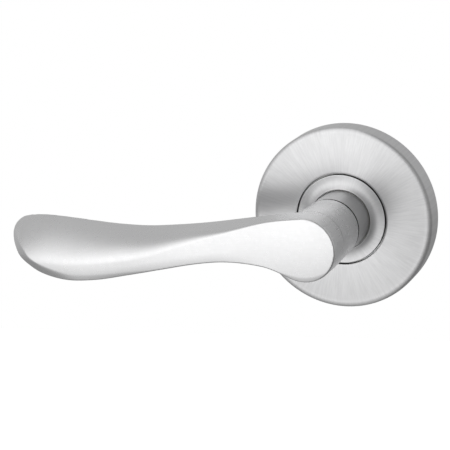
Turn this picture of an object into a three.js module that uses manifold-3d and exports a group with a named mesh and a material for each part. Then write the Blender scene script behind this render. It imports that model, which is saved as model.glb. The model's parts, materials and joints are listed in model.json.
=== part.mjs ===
// Lever handle on a round rose: the half set that is fixed to one face of a door.
// Units are millimetres. X runs right along the door, Y runs into the door, Z is up.
// The origin is on the spindle axis in the plane of the door face.
// A "depth" below is the distance that something stands out from the door face, so depth = -Y.

import * as THREE from 'three';
import { mergeVertices } from 'three/addons/utils/BufferGeometryUtils.js';
import Module from 'manifold-3d';

const wasm = await Module();
wasm.setup();

const { degToRad, smoothstep, lerp, clamp } = THREE.MathUtils;

// ---------------------------------------------------------------- driving dimensions

const FIT_GAP = 0.3;

const ROSE_RADIUS = 32.5;
const ROSE_RIM_DEPTH = 7.7;
const ROSE_EDGE_WIDTH = 2.3;
const ROSE_EDGE_RISE = 1.25;
const ROSE_CENTRE_DEPTH = 9.9;
const ROSE_WALL = 1.2;

const COLLAR_RADIUS = 15.95;
const COLLAR_LIP_DEPTH = 9.9;
const COLLAR_TOP_RADIUS = 11.2;
const COLLAR_TOP_DEPTH = 11.1;
const COLLAR_BORE_RADIUS = 10.9;
const COLLAR_SEAT_DEPTH = 8.7;

const SLEEVE_RADIUS = 10.35;
const SLEEVE_BACK_DEPTH = 10.65;
const SEAM_GAP = 0.8;
const NECK_SEAM_DEPTH = 23.9;
const NECK_RADIUS = 10.45;

const HEAD_RADIUS = 11.0;
const FRONT_DEPTH = 55;
const ARM_THICKNESS = 11.6;
const TIP_SETBACK = 2.5;
const TIP_CURL = 1.6;

const SPIGOT_RADIUS = 7.9;
const SPIGOT_END_DEPTH = 0.7;
const SPIGOT_HALF_FLATS = 6.7;
const CLIP_GROOVE_RADIUS = 7;
const CLIP_DEPTH = 1.9;
const SPINDLE_SIZE = 8;
const SPINDLE_REACH = 50;
const SPINDLE_SEAT_DEPTH = 41;

const PLATE_RADIUS = 29.4;
const PLATE_THICKNESS = 2.5;
const PLATE_BORE_RADIUS = 13.5;
const FIXING_CENTRES = 50;
const FIXING_SCREW_RADIUS = 2;
const FIXING_HEAD_RADIUS = 3.9;
const FIXING_SCREW_REACH = 12;
const BOSS_REACH = 6;

const CASSETTE_RADIUS = 20.7;
const CASSETTE_WALL = 1.1;
const CASSETTE_FRONT_DEPTH = 8.4;
const CASSETTE_FLANGE_RADIUS = 27.4;
const CASSETTE_FLANGE_DEPTH = PLATE_THICKNESS + FIT_GAP + 1;
const CASSETTE_SCREW_CIRCLE = 24.4;
const CASSETTE_SCREW_RADIUS = 1.3;

const BUSH_BODY_RADIUS = 10.2;
const BUSH_FLANGE_RADIUS = 11.6;
const BUSH_BACK_DEPTH = 5.9;
const BUSH_FLANGE_DEPTH = 7.0;

const HUB_RADIUS = 11.4;
const HUB_BACK = 2.8;
const HUB_FRONT = 4.9;
const TONGUE_FRONT = 3.8;
const TONGUE_REACH = 18.4;
const TONGUE_WIDTH = 5;
const FINGER_HALF_ANGLE = 8;

const LEVER_TRAVEL = 50;
const STOP_CIRCLE = 16.8;
const STOP_PIN_RADIUS = 1.6;

const SPRING_COIL_RADIUS = 13.5;
const SPRING_WIRE_WIDTH = 1.8;
const SPRING_WIRE_HEIGHT = 0.8;
const SPRING_TURNS = 2;

const GRUB_DEPTH = 31;
const GRUB_RADIUS = 2.5;

// Tools that cut right through a part run this far past it.
const CLEAR = 2;

// ---------------------------------------------------------------- materials

function metal(color, roughness, metalness = 1) {
  return new THREE.MeshStandardMaterial({ color, roughness, metalness });
}

const satinSteel = () => metal(0xc9cacb, 0.38);
const zincPlated = () => metal(0xb4b6b4, 0.45);
const springSteel = () => metal(0x6d7074, 0.4);
const hardenedSteel = () => metal(0x3c3e42, 0.5);
const castZinc = () => metal(0x9c9ea0, 0.55);
const nylon = () => metal(0xe9e6dc, 0.6, 0);

// ---------------------------------------------------------------- making solids

function solidFrom(geometry) {
  const bare = geometry.clone();
  bare.deleteAttribute('normal');
  bare.deleteAttribute('uv');
  const merged = mergeVertices(bare, 1e-4);
  const triVerts = Uint32Array.from(merged.index.array);
  const vertProperties = Float32Array.from(merged.attributes.position.array);
  const solid = new wasm.Manifold(new wasm.Mesh({ numProp: 3, vertProperties, triVerts }));
  if (solid.volume() > 0) return solid;
  triVerts.reverse();
  return new wasm.Manifold(new wasm.Mesh({ numProp: 3, vertProperties, triVerts }));
}

function geometryFrom(solid) {
  const { vertProperties, triVerts } = solid.getMesh();
  const geometry = new THREE.BufferGeometry();
  geometry.setAttribute('position', new THREE.BufferAttribute(vertProperties, 3));
  geometry.setIndex(new THREE.BufferAttribute(triVerts, 1));
  geometry.computeVertexNormals();
  return geometry;
}

const join = (first, ...others) => others.reduce((body, piece) => body.add(piece), first);
const cut = (first, ...others) => others.reduce((body, piece) => body.subtract(piece), first);

const object = new THREE.Group();

function addPart(name, solid, material) {
  const mesh = new THREE.Mesh(geometryFrom(solid), material);
  mesh.name = name;
  object.add(mesh);
}

// A closed ring of [radius, depth] corners, turned about the spindle axis.
function turned(profile, segments = 48) {
  const points = profile.map(([radius, depth]) => new THREE.Vector2(radius, -depth));
  const closesOnAxis = profile[0][0] === 0 && profile.at(-1)[0] === 0;
  if (!closesOnAxis) points.push(points[0].clone());
  return solidFrom(new THREE.LatheGeometry(points, segments));
}

// A round bar along the spindle axis, standing at (x, z).
function rod(radius, fromDepth, toDepth, x = 0, z = 0, segments = 20) {
  const height = toDepth - fromDepth;
  const geometry = new THREE.CylinderGeometry(radius, radius, height, segments);
  geometry.translate(x, -(fromDepth + toDepth) / 2, z);
  return solidFrom(geometry);
}

function block(widthX, heightZ, fromDepth, toDepth, x = 0, z = 0) {
  const geometry = new THREE.BoxGeometry(widthX, toDepth - fromDepth, heightZ);
  geometry.translate(x, -(fromDepth + toDepth) / 2, z);
  return solidFrom(geometry);
}

// A flat outline in X and Z, made into a plate between two depths.
function plate(shape, fromDepth, toDepth, curveSegments = 12) {
  const options = { depth: toDepth - fromDepth, bevelEnabled: false, curveSegments };
  const geometry = new THREE.ExtrudeGeometry(shape, options);
  geometry.translate(0, 0, fromDepth);
  geometry.rotateX(Math.PI / 2);
  return solidFrom(geometry);
}

// Turns a solid about the spindle axis, counter-clockwise as seen from in front of the door.
function spun(solid, degrees) {
  return solid.rotate([0, -degrees, 0]);
}

function onCircle(radius, degrees) {
  const angle = degToRad(degrees);
  return [radius * Math.cos(angle), radius * Math.sin(angle)];
}

// A tapering slice of a ring, from one angle to the other either side of straight up.
function ringSlice(innerRadius, outerRadius, halfDegrees, fromDepth, toDepth) {
  const shape = new THREE.Shape();
  const start = degToRad(90 - halfDegrees);
  const end = degToRad(90 + halfDegrees);
  shape.absarc(0, 0, outerRadius, start, end, false);
  shape.absarc(0, 0, innerRadius, end, start, true);
  return plate(shape, fromDepth, toDepth, 4);
}

// ---------------------------------------------------------------- the handle's surface

// Outline of the handle as seen along the spindle, from the top of the round head, out along
// the upper edge, round the tip and back under the arm to the head.
const ARM_OUTLINE = [
  [-7, 10.6], [-14, 9.9], [-24, 8.65], [-36, 7.25], [-48, 6.3], [-60, 5.85], [-72, 6.5],
  [-84, 7.75], [-94, 8.7], [-101.3, 8.85], [-107.2, 8.15], [-110.2, 6.0], [-110.3, 2.2],
  [-108.0, -2.8], [-103.9, -7.5], [-98.2, -10.8], [-88.0, -12.2], [-76, -11.7], [-64, -9.7],
  [-52, -7.4], [-40, -5.3], [-30, -4.3], [-22, -4.55], [-15, -5.55], [-11, -6.8], [-8, -8.2],
];
// The round head takes over from the outline's points between these two angles.
const HEAD_ARC_START = -116.5;
const HEAD_ARC_END = 92;

function handleOutline() {
  const [start, ...rest] = ARM_OUTLINE.map(([x, z]) => new THREE.Vector2(x, z));
  const shape = new THREE.Shape();
  shape.moveTo(start.x, start.y);
  shape.splineThru(rest);
  shape.absarc(0, 0, HEAD_RADIUS, degToRad(HEAD_ARC_START), degToRad(HEAD_ARC_END), false);
  return shape.getSpacedPoints(420);
}

const outline = handleOutline();
const armTip = Math.min(...outline.map((point) => point.x));

// Distance from the outline in the X-Z plane, negative inside it.
function outlineDistance(x, z) {
  let nearest = Infinity;
  let inside = false;
  outline.forEach((a, i) => {
    const b = outline[(i + 1) % outline.length];
    const edgeX = b.x - a.x;
    const edgeZ = b.y - a.y;
    const lengthSquared = edgeX ** 2 + edgeZ ** 2 || 1;
    const t = clamp(((x - a.x) * edgeX + (z - a.y) * edgeZ) / lengthSquared, 0, 1);
    nearest = Math.min(nearest, Math.hypot(x - a.x - t * edgeX, z - a.y - t * edgeZ));
    const crosses = (a.y > z) !== (b.y > z);
    if (crosses && x < a.x + (edgeX * (z - a.y)) / edgeZ) inside = !inside;
  });
  return inside ? -nearest : nearest;
}

// Highest and lowest points of the outline at one station along the arm.
function outlineSpan(x) {
  const heights = [];
  outline.forEach((a, i) => {
    const b = outline[(i + 1) % outline.length];
    if ((a.x > x) !== (b.x > x)) heights.push(lerp(a.y, b.y, (x - a.x) / (b.x - a.x)));
  });
  return { bottom: Math.min(...heights), top: Math.max(...heights) };
}

// Where two surfaces meet in a convex edge, this rounds the edge to the given size.
function roundedEdge(a, b, size) {
  return Math.min(Math.max(a, b), -size) + Math.hypot(Math.max(a + size, 0), Math.max(b + size, 0));
}

// The front curves back towards the tip, which keeps the arm's thickness.
function frontDepth(x) {
  const outward = clamp((-x - 40) / 70, 0, 1);
  return FRONT_DEPTH - TIP_SETBACK * outward ** 2 - TIP_CURL * outward ** 6;
}
const backDepth = (x) => frontDepth(x) - ARM_THICKNESS;

// The flat top of the arm leans forward more and more towards the tip, in degrees.
const topLean = (x) => 8 * smoothstep(-x, 6, 30) + 28 * smoothstep(-x, 35, 95);
// The upper front edge is crisp at the head and becomes a broad roll over the grip.
const upperEdge = (x) => 0.4 + 5.4 * smoothstep(-x, 14, 65);
// The front swells a little, and more over the grip than over the head.
const frontSwell = (x) => 0.5 / lerp(90, 30, smoothstep(-x, 30, 80));
const frontCentre = (x) => -2 * smoothstep(-x, 10, 40) - 4 * smoothstep(-x, 55, 85);

// The front rolls back a little along the lower edge of the arm's waist.
function lowerRoll(x, z, bottom) {
  const waist = smoothstep(-x, 12, 34) * (1 - smoothstep(-x, 60, 84));
  return 0.02 * waist * Math.max(3.5 + bottom - z, 0) ** 2;
}

function armDistance(x, depth, z) {
  const { bottom, top } = outlineSpan(clamp(x, armTip + 3.6, -7));
  const lean = degToRad(topLean(x));
  const topLine = top + 0.6 * smoothstep(x, -7, 0);
  const roof = (z - topLine + Math.tan(lean) * (depth - backDepth(x) - 0.8)) * Math.cos(lean);
  const swell = frontSwell(x) * (z - frontCentre(x)) ** 2;
  const headRoll = Math.max(x + 4, 0) ** 2 / 280;
  const front = depth - frontDepth(x) + swell + lowerRoll(x, z, bottom) + headRoll;
  const sides = roundedEdge(outlineDistance(x, z), backDepth(x) - depth, 0.6);
  const upper = roundedEdge(roof, front, upperEdge(x));
  return roundedEdge(roundedEdge(sides, upper, 0.5), tipBevel(x, z, sides, upper), 0.3);
}

// A bevel round the front of the tip, at 30 degrees to the front. It is wider lower down and
// fades out along the arm.
function tipBevel(x, z, sides, upper) {
  const width = 0.3 + 1.5 * smoothstep(-z, -7, 3) - 3 * smoothstep(x, -104, -84);
  const tilt = degToRad(30);
  return sides * Math.sin(tilt) + upper * Math.cos(tilt) + width;
}

// Finds the surface between a point inside the arm and one outside it.
function surfacePoint(x, inner, outer) {
  let near = 0;
  let far = 1;
  for (let i = 0; i < 22; i += 1) {
    const middle = (near + far) / 2;
    const depth = lerp(inner.depth, outer.depth, middle);
    const z = lerp(inner.z, outer.z, middle);
    if (armDistance(x, depth, z) < 0) near = middle;
    else far = middle;
  }
  return { depth: lerp(inner.depth, outer.depth, near), z: lerp(inner.z, outer.z, near) };
}

// A capped tube of stations along X. Each ring of points is cast from the middle of the arm's
// section through a box round it, so that rings keep a point on each crisp corner.
function armSolid() {
  const stations = 46;
  const sidePoints = 9;
  const ringPoints = 4 * sidePoints;
  const endInset = 0.06;
  const geometry = new THREE.CylinderGeometry(1, 1, 1, ringPoints, stations);
  const position = geometry.attributes.position;
  const rings = new Map();

  function ringAt(step) {
    if (rings.has(step)) return rings.get(step);
    const share = (1 - Math.cos((Math.PI * step) / stations)) / 2;
    const x = lerp(armTip + endInset, HEAD_RADIUS - endInset, share);
    const { bottom, top } = outlineSpan(x);
    const centre = { depth: (frontDepth(x) + backDepth(x)) / 2 - 1, z: lerp(bottom, top, 0.45) };
    const corners = [
      { depth: backDepth(x), z: top }, { depth: frontDepth(x), z: top },
      { depth: frontDepth(x), z: bottom }, { depth: backDepth(x), z: bottom },
    ];
    const points = Array.from({ length: ringPoints }, (_, i) => {
      const side = Math.floor(i / sidePoints);
      const along = (i % sidePoints) / sidePoints;
      const from = corners[side];
      const to = corners[(side + 1) % 4];
      const edge = { depth: lerp(from.depth, to.depth, along), z: lerp(from.z, to.z, along) };
      const outer = {
        depth: lerp(centre.depth, edge.depth, 1.3),
        z: lerp(centre.z, edge.z, 1.3),
      };
      return surfacePoint(x, centre, outer);
    });
    rings.set(step, { x, centre, points });
    return rings.get(step);
  }

  for (let i = 0; i < position.count; i += 1) {
    const radial = Math.hypot(position.getX(i), position.getZ(i));
    const turn = (Math.atan2(position.getX(i), position.getZ(i)) / (2 * Math.PI) + 1) % 1;
    const ring = ringAt(Math.round((position.getY(i) + 0.5) * stations));
    const point = radial < 0.5 ? ring.centre : ring.points[Math.round(turn * ringPoints) % ringPoints];
    position.setXYZ(i, ring.x, -point.depth, point.z);
  }
  return solidFrom(geometry);
}

// ---------------------------------------------------------------- parts that turn

function leverHandle() {
  const neckTop = FRONT_DEPTH - ARM_THICKNESS + 2;
  const taperEnd = neckTop - 4;
  const bevel = 0.3;
  const neckInHead = HEAD_RADIUS - 0.05;
  const neck = turned([
    [0, SPIGOT_END_DEPTH], [SPIGOT_RADIUS, SPIGOT_END_DEPTH], [SPIGOT_RADIUS, NECK_SEAM_DEPTH],
    [NECK_RADIUS - bevel, NECK_SEAM_DEPTH], [NECK_RADIUS, NECK_SEAM_DEPTH + bevel],
    [neckInHead, taperEnd], [neckInHead, neckTop], [0, neckTop],
  ], 60);
  const boreSize = SPINDLE_SIZE + FIT_GAP;
  const spindleBore = block(boreSize, boreSize, -CLEAR, SPINDLE_SEAT_DEPTH + 1);
  const grubHole = screwAcross(GRUB_RADIUS + 0.2, 0, HEAD_RADIUS + CLEAR);
  const halfGroove = 0.7;
  const clipGroove = turned([
    [CLIP_GROOVE_RADIUS, CLIP_DEPTH - halfGroove], [SPIGOT_RADIUS + CLEAR, CLIP_DEPTH - halfGroove],
    [SPIGOT_RADIUS + CLEAR, CLIP_DEPTH + halfGroove], [CLIP_GROOVE_RADIUS, CLIP_DEPTH + halfGroove],
  ]);
  const flats = driveFlats(SPIGOT_HALF_FLATS);
  return cut(join(armSolid(), neck), spindleBore, grubHole, clipGroove, ...flats);
}

// What the two flats take away, which key the drive hub to the handle's spigot.
function driveFlats(halfWidth) {
  const taken = 4;
  const length = 20;
  return [-1, 1].map((side) => {
    return block(taken, length, -CLEAR, HUB_FRONT + 0.05, side * (halfWidth + taken / 2));
  });
}

// A round bar along -Z, at the depth of the grub screw.
function screwAcross(radius, fromZ, toZ, segments = 20) {
  const geometry = new THREE.CylinderGeometry(radius, radius, toZ - fromZ, segments);
  geometry.rotateX(Math.PI / 2);
  geometry.translate(0, -GRUB_DEPTH, -(fromZ + toZ) / 2);
  return solidFrom(geometry);
}

function grubScrew() {
  const tip = SPINDLE_SIZE / 2 + FIT_GAP;
  const end = NECK_RADIUS - 0.2;
  const hexKeyRadius = 1.4;
  const keyDepth = 2.5;
  const keyHole = screwAcross(hexKeyRadius, end - keyDepth, end + CLEAR, 6);
  return cut(screwAcross(GRUB_RADIUS, tip, end), keyHole);
}

function neckSleeve() {
  const bore = SPIGOT_RADIUS + FIT_GAP;
  const back = SLEEVE_BACK_DEPTH;
  const front = NECK_SEAM_DEPTH - SEAM_GAP;
  const bevel = 0.2;
  return turned([
    [bore, back], [SLEEVE_RADIUS - bevel, back], [SLEEVE_RADIUS, back + bevel],
    [SLEEVE_RADIUS, front], [bore, front],
  ], 60);
}

// A square bar with its inner end pointed.
function spindle() {
  const taper = 2;
  const tip = -SPINDLE_REACH;
  const bar = block(SPINDLE_SIZE, SPINDLE_SIZE, tip, SPINDLE_SEAT_DEPTH);
  const cornerRadius = SPINDLE_SIZE * Math.SQRT1_2;
  const pointed = turned([
    [0, tip], [SPINDLE_SIZE / 2, tip], [cornerRadius, tip + taper],
    [cornerRadius, SPINDLE_SEAT_DEPTH], [0, SPINDLE_SEAT_DEPTH],
  ], 32);
  return bar.intersect(pointed);
}

function driveHub() {
  const disc = rod(HUB_RADIUS, HUB_BACK, HUB_FRONT, 0, 0, 40);
  const tongues = block(TONGUE_WIDTH, 2 * TONGUE_REACH, HUB_BACK, TONGUE_FRONT);
  const fingerFront = CASSETTE_FRONT_DEPTH - CASSETTE_WALL - 0.6;
  const finger = ringSlice(15.4, 18.2, FINGER_HALF_ANGLE, HUB_BACK, fingerFront);
  const keyRound = rod(SPIGOT_RADIUS + 0.25, 0, HUB_FRONT + CLEAR, 0, 0, 40);
  const bore = cut(keyRound, ...driveFlats(SPIGOT_HALF_FLATS + 0.25));
  return cut(join(disc, tongues, finger), bore);
}

function circlip() {
  const inner = CLIP_GROOVE_RADIUS + 0.25;
  const outer = 9.6;
  const halfThickness = 0.5;
  const ring = turned([
    [inner, CLIP_DEPTH - halfThickness], [outer, CLIP_DEPTH - halfThickness],
    [outer, CLIP_DEPTH + halfThickness], [inner, CLIP_DEPTH + halfThickness],
  ]);
  const mouth = block(4, 6, CLIP_DEPTH - 1, CLIP_DEPTH + 1, 0, -8.5);
  return cut(ring, mouth);
}

function thrustWasher() {
  const bore = SPIGOT_RADIUS + FIT_GAP;
  const outer = HUB_RADIUS - 0.2;
  const back = HUB_FRONT + 0.25;
  const front = BUSH_BACK_DEPTH - FIT_GAP;
  return turned([[bore, back], [outer, back], [outer, front], [bore, front]], 40);
}

// ---------------------------------------------------------------- parts that stay still

// A pressed shell with a rounded rim and a slightly domed face.
function roseCover() {
  const hole = COLLAR_RADIUS + 0.4;
  const faceEdge = ROSE_RADIUS - ROSE_EDGE_WIDTH;
  const faceDepth = ROSE_RIM_DEPTH + ROSE_EDGE_RISE;
  const domeRise = ROSE_CENTRE_DEPTH - faceDepth;
  const rimSteps = 4;
  const rim = Array.from({ length: rimSteps + 1 }, (_, i) => {
    const [out, up] = onCircle(1, (90 * i) / rimSteps);
    return [faceEdge + ROSE_EDGE_WIDTH * out, ROSE_RIM_DEPTH + ROSE_EDGE_RISE * up];
  });
  const domeSteps = 4;
  const dome = Array.from({ length: domeSteps }, (_, i) => {
    const share = (i + 1) / domeSteps;
    return [lerp(faceEdge, hole, share), faceDepth + domeRise * Math.sin((share * Math.PI) / 2)];
  });
  const innerRadius = ROSE_RADIUS - ROSE_WALL;
  return turned([
    [innerRadius, 0], [ROSE_RADIUS, 0], ...rim, ...dome,
    [hole, ROSE_CENTRE_DEPTH - ROSE_WALL], [faceEdge - 1, faceDepth - ROSE_WALL],
    [innerRadius, ROSE_RIM_DEPTH - 0.4],
  ], 64);
}

// The flared ring that fills the rose's hole and leads up to the neck. The sleeve's end runs in
// its wider front bore, and the bush in the narrower one behind.
function collarRing() {
  const lipBevel = 0.15;
  const flareSteps = 6;
  const flare = Array.from({ length: flareSteps + 1 }, (_, i) => {
    const share = i / flareSteps;
    const rise = COLLAR_TOP_DEPTH - COLLAR_LIP_DEPTH - lipBevel;
    return [
      lerp(COLLAR_RADIUS - lipBevel, COLLAR_TOP_RADIUS, share),
      COLLAR_LIP_DEPTH + rise * share ** 3,
    ];
  });
  const bushBore = BUSH_BODY_RADIUS + FIT_GAP;
  const stepDepth = SLEEVE_BACK_DEPTH - FIT_GAP;
  return turned([
    [bushBore, COLLAR_SEAT_DEPTH], [COLLAR_RADIUS, COLLAR_SEAT_DEPTH],
    [COLLAR_RADIUS, COLLAR_LIP_DEPTH - lipBevel], ...flare,
    [COLLAR_BORE_RADIUS, COLLAR_TOP_DEPTH], [COLLAR_BORE_RADIUS, stepDepth], [bushBore, stepDepth],
  ], 64);
}

function bearingBush() {
  const bore = SPIGOT_RADIUS + FIT_GAP / 2;
  const front = SLEEVE_BACK_DEPTH - 0.45;
  return turned([
    [bore, BUSH_BACK_DEPTH], [BUSH_FLANGE_RADIUS, BUSH_BACK_DEPTH],
    [BUSH_FLANGE_RADIUS, BUSH_FLANGE_DEPTH], [BUSH_BODY_RADIUS, BUSH_FLANGE_DEPTH],
    [BUSH_BODY_RADIUS, front], [bore, front],
  ], 60);
}

const fixingPlaces = [-1, 1].map((side) => (side * FIXING_CENTRES) / 2);
const cassetteScrewAngles = [45, 135, 225, 315];

function mountingPlate() {
  const front = PLATE_THICKNESS + CLEAR;
  const disc = rod(PLATE_RADIUS, 0, PLATE_THICKNESS, 0, 0, 64);
  const bosses = fixingPlaces.map((x) => rod(4, -BOSS_REACH, PLATE_THICKNESS, x, 0, 24));
  const fixingHoles = fixingPlaces.map((x) => {
    return rod(FIXING_SCREW_RADIUS + 0.4, -BOSS_REACH - CLEAR, front, x, 0);
  });
  const screwHoles = cassetteScrewAngles.map((angle) => {
    const [x, z] = onCircle(CASSETTE_SCREW_CIRCLE, angle);
    return rod(CASSETTE_SCREW_RADIUS + 0.25, -CLEAR, front, x, z, 16);
  });
  const pinHoles = stopAngles.map((angle) => {
    const [x, z] = onCircle(STOP_CIRCLE, angle);
    return rod(STOP_PIN_RADIUS + 0.2, -CLEAR, front, x, z, 16);
  });
  const centreBore = rod(PLATE_BORE_RADIUS, -CLEAR, front, 0, 0, 48);
  return cut(join(disc, ...bosses), centreBore, ...fixingHoles, ...screwHoles, ...pinHoles);
}

// A shallow pressed cup that holds the spring, with a flange that is screwed to the plate.
function cassetteHousing() {
  const back = PLATE_THICKNESS + FIT_GAP;
  const innerRadius = CASSETTE_RADIUS - CASSETTE_WALL;
  const webBack = CASSETTE_FRONT_DEPTH - CASSETTE_WALL;
  const bore = BUSH_BODY_RADIUS + FIT_GAP;
  const bevel = 0.8;
  const cup = turned([
    [innerRadius, back], [CASSETTE_FLANGE_RADIUS, back],
    [CASSETTE_FLANGE_RADIUS, CASSETTE_FLANGE_DEPTH], [CASSETTE_RADIUS, CASSETTE_FLANGE_DEPTH],
    [CASSETTE_RADIUS, CASSETTE_FRONT_DEPTH - bevel],
    [CASSETTE_RADIUS - bevel, CASSETTE_FRONT_DEPTH], [bore, CASSETTE_FRONT_DEPTH],
    [bore, webBack], [innerRadius, webBack],
  ], 64);
  const intoCup = 0.3;
  const anchorEnd = innerRadius + intoCup;
  const springAnchor = ringSlice(18.6, anchorEnd, FINGER_HALF_ANGLE, back, webBack + intoCup);
  const headRoom = fixingPlaces.map((x) => {
    return rod(FIXING_HEAD_RADIUS + 0.7, back - CLEAR, CASSETTE_FRONT_DEPTH + CLEAR, x, 0, 24);
  });
  const screwHoles = cassetteScrewAngles.map((angle) => {
    const [x, z] = onCircle(CASSETTE_SCREW_CIRCLE, angle);
    return rod(CASSETTE_SCREW_RADIUS + 0.3, back - CLEAR, CASSETTE_FLANGE_DEPTH + CLEAR, x, z, 16);
  });
  return cut(join(cup, springAnchor), ...headRoom, ...screwHoles);
}

// One flat-wire torsion spring. Its two legs stand out radially, either side of the anchor and
// of the hub's finger: the finger pushes the back one round, while the anchor holds the front one.
class SpringPath extends THREE.Curve {
  getPoint(t, target = new THREE.Vector3()) {
    const legAngle = 13.5;
    const legShare = 0.035;
    const legEnd = 19.2;
    const firstDepth = 4.5;
    const lastDepth = 6.6;
    const coilShare = clamp((t - legShare) / (1 - 2 * legShare), 0, 1);
    const fromEnd = Math.min(t, 1 - t);
    const out = smoothstep(legShare * 1.3 - fromEnd, 0, legShare * 1.3);
    const radius = SPRING_COIL_RADIUS + (legEnd - SPRING_COIL_RADIUS) * out ** 0.8;
    const sweep = 360 * SPRING_TURNS + 2 * legAngle;
    const angle = degToRad(90 + legAngle - sweep * coilShare);
    const depth = lerp(firstDepth, lastDepth, coilShare);
    return target.set(radius * Math.cos(angle), -depth, radius * Math.sin(angle));
  }
}

function returnSpring() {
  const wire = new THREE.Shape();
  const halfWidth = SPRING_WIRE_WIDTH / 2;
  const halfHeight = SPRING_WIRE_HEIGHT / 2;
  wire.moveTo(-halfHeight, -halfWidth);
  wire.lineTo(halfHeight, -halfWidth);
  wire.lineTo(halfHeight, halfWidth);
  wire.lineTo(-halfHeight, halfWidth);
  const options = { steps: 96, bevelEnabled: false, extrudePath: new SpringPath() };
  return solidFrom(new THREE.ExtrudeGeometry(wire, options));
}

// The hub's lower tongue meets one pin at rest and the other at the end of its travel.
const tongueHalfAngle = 8.7;
const pinHalfAngle = 5.6;
const stopClearance = 1.2;
const stopOffset = tongueHalfAngle + pinHalfAngle + stopClearance;
const stopAngles = [270 - stopOffset, 270 + LEVER_TRAVEL + stopOffset];

function stopPin(angle) {
  const [x, z] = onCircle(STOP_CIRCLE, angle);
  return rod(STOP_PIN_RADIUS, 0.2, 6.9, x, z, 16);
}

function crossRecess(x, z, width, frontOfHead, recessDepth) {
  const arm = 0.9;
  const from = frontOfHead - recessDepth;
  const to = frontOfHead + 1;
  return join(block(width, arm, from, to, x, z), block(arm, width, from, to, x, z));
}

// A screw whose head rests at one depth and whose shank ends at another.
function panScrew(x, z, { shankRadius, headRadius, headHeight }, headBack, end) {
  const front = headBack + headHeight;
  const bevel = headHeight * 0.35;
  const profile = [
    [0, end], [shankRadius * 0.8, end], [shankRadius, end + shankRadius * 0.4],
    [shankRadius, headBack], [headRadius, headBack], [headRadius, front - bevel],
    [headRadius - bevel, front], [0, front],
  ];
  const screw = turned(profile, 16).translate([x, 0, z]);
  return cut(screw, crossRecess(x, z, headRadius * 1.15, front, headHeight * 0.6));
}

// A small spring-steel angle that grips the inside of the rose cover.
function roseClip(angle) {
  const width = 7;
  const thickness = 0.8;
  const foot = 2.1;
  const back = PLATE_THICKNESS + FIT_GAP;
  const front = ROSE_RIM_DEPTH - 1.4;
  const outer = ROSE_RADIUS - ROSE_WALL - 0.55;
  const base = block(width, foot, back, back + thickness, 0, outer - foot / 2);
  const upright = block(width, thickness, back, front, 0, outer - thickness / 2);
  return spun(join(base, upright), angle - 90);
}

// ---------------------------------------------------------------- assembly

addPart('lever_handle', leverHandle(), satinSteel());
addPart('neck_sleeve', neckSleeve(), satinSteel());
addPart('spindle', spindle(), zincPlated());
addPart('grub_screw', grubScrew(), hardenedSteel());
addPart('drive_hub', driveHub(), castZinc());
addPart('circlip', circlip(), springSteel());
addPart('thrust_washer', thrustWasher(), springSteel());

addPart('rose_cover', roseCover(), satinSteel());
addPart('collar_ring', collarRing(), satinSteel());
addPart('bearing_bush', bearingBush(), nylon());
addPart('mounting_plate', mountingPlate(), castZinc());
addPart('cassette_housing', cassetteHousing(), zincPlated());
addPart('return_spring', returnSpring(), springSteel());
addPart('stop_pin_rest', stopPin(stopAngles[0]), hardenedSteel());
addPart('stop_pin_limit', stopPin(stopAngles[1]), hardenedSteel());

cassetteScrewAngles.forEach((angle, i) => {
  const [x, z] = onCircle(CASSETTE_SCREW_CIRCLE, angle);
  const size = { shankRadius: CASSETTE_SCREW_RADIUS, headRadius: 2.3, headHeight: 1.5 };
  const screw = panScrew(x, z, size, CASSETTE_FLANGE_DEPTH + FIT_GAP, FIT_GAP);
  addPart(`cassette_screw_${i + 1}`, screw, zincPlated());
});

fixingPlaces.forEach((x, i) => {
  const headBack = PLATE_THICKNESS + FIT_GAP;
  const size = {
    shankRadius: FIXING_SCREW_RADIUS, headRadius: FIXING_HEAD_RADIUS, headHeight: 2.4,
  };
  const screw = panScrew(x, 0, size, headBack, -FIXING_SCREW_REACH);
  addPart(['fixing_screw_left', 'fixing_screw_right'][i], screw, zincPlated());
});

[90, 210, 330].forEach((angle, i) => {
  addPart(`rose_clip_${i + 1}`, roseClip(angle), springSteel());
});

export default object;
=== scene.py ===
"""Looks of the lever handle on its round rose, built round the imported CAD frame.

Shapes are worked out in millimetres as (x, depth, z), where depth is how far something stands out
from the door face, and are turned into Blender's metres when a piece is made.
"""

import json
import math

import bpy
import numpy as np
from mathutils import Matrix, Vector


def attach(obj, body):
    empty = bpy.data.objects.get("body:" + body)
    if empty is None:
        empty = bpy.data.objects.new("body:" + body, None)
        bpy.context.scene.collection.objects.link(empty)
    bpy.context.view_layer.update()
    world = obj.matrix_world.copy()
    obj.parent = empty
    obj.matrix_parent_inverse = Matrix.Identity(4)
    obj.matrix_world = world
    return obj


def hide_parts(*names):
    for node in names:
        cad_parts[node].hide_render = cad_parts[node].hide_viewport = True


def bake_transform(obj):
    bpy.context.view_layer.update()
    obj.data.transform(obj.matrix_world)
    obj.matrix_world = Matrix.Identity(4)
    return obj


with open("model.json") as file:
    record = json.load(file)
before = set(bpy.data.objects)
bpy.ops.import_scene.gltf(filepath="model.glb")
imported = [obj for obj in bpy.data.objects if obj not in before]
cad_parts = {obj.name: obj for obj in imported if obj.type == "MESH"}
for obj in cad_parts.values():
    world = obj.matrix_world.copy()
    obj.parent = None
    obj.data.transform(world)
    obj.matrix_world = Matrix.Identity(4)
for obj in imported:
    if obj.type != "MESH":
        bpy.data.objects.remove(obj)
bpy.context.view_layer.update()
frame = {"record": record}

MM = 0.001

# ---------------------------------------------------------------- dimensions, as in the CAD part

FIT_GAP = 0.3

ROSE_RADIUS = 32.5
ROSE_RIM_DEPTH = 7.7
ROSE_EDGE_WIDTH = 2.3
ROSE_EDGE_RISE = 1.25
ROSE_CENTRE_DEPTH = 9.9
ROSE_WALL = 1.2
HOLE_GAP = 0.4

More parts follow.
